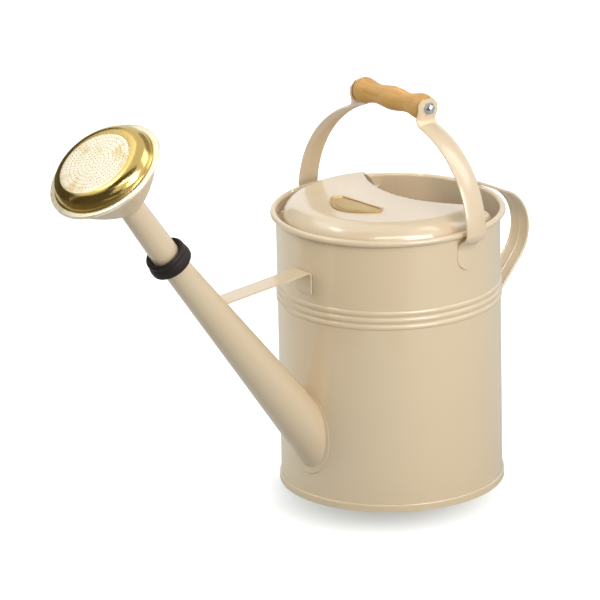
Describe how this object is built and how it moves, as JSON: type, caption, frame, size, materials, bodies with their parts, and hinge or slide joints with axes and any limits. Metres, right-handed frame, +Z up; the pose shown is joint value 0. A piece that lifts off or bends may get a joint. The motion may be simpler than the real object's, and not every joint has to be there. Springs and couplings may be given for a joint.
{
  "type": "watering can",
  "caption": "Cream painted steel watering can with half cover, long braced spout, removable brass-faced rose and a spinning wooden grip.",
  "frame": {"origin": "middle of the base ring on the ground, on the axis of the can body", "axes": "+Z up along the can body, -X towards the spout and rose, +X towards the rear handle, Y along the top grip"},
  "size_m": [0.5591, 0.2418, 0.4124],
  "materials": {
    "cream_paint": "semi-gloss cream enamel",
    "brass": "polished",
    "black_rubber": "smooth matt",
    "turned_wood": "clear lacquer",
    "bright_steel": "bright plated",
    "plain_steel": "drawn wire"
  },
  "bodies": {
    "can": {"body_shell": "cream_paint", "rim_wire": "plain_steel", "base_plate": "cream_paint", "cover_plate": "cream_paint", "badge_plate": "brass", "spout": "cream_paint", "spout_brace": "cream_paint", "handle_arm_left": "cream_paint", "handle_arm_right": "cream_paint", "grip_rod": "plain_steel", "grip_nuts": "bright_steel", "rear_handle": "cream_paint"},
    "grip": {"grip": "turned_wood"},
    "collar": {"rose_collar": "black_rubber"},
    "rose": {"rose_stem": "cream_paint", "rose_cone": "cream_paint", "rose_face": "brass"}
  },
  "joints": [
    {"name": "grip_spin", "type": "hinge", "parent": "can", "child": "grip", "pos_m": [0.00946, 0, 0.37234], "axis": [0, 1, 0], "continuous": true},
    {"name": "collar_slide", "type": "slide", "parent": "can", "child": "collar", "axis": [-0.5821, 0, 0.8131], "range_m": [0, 0.03]},
    {"name": "rose_turn", "type": "hinge", "parent": "collar", "child": "rose", "pos_m": [-0.3406, 0, 0.37693], "axis": [-0.5821, 0, 0.8131], "continuous": true}
  ]
}
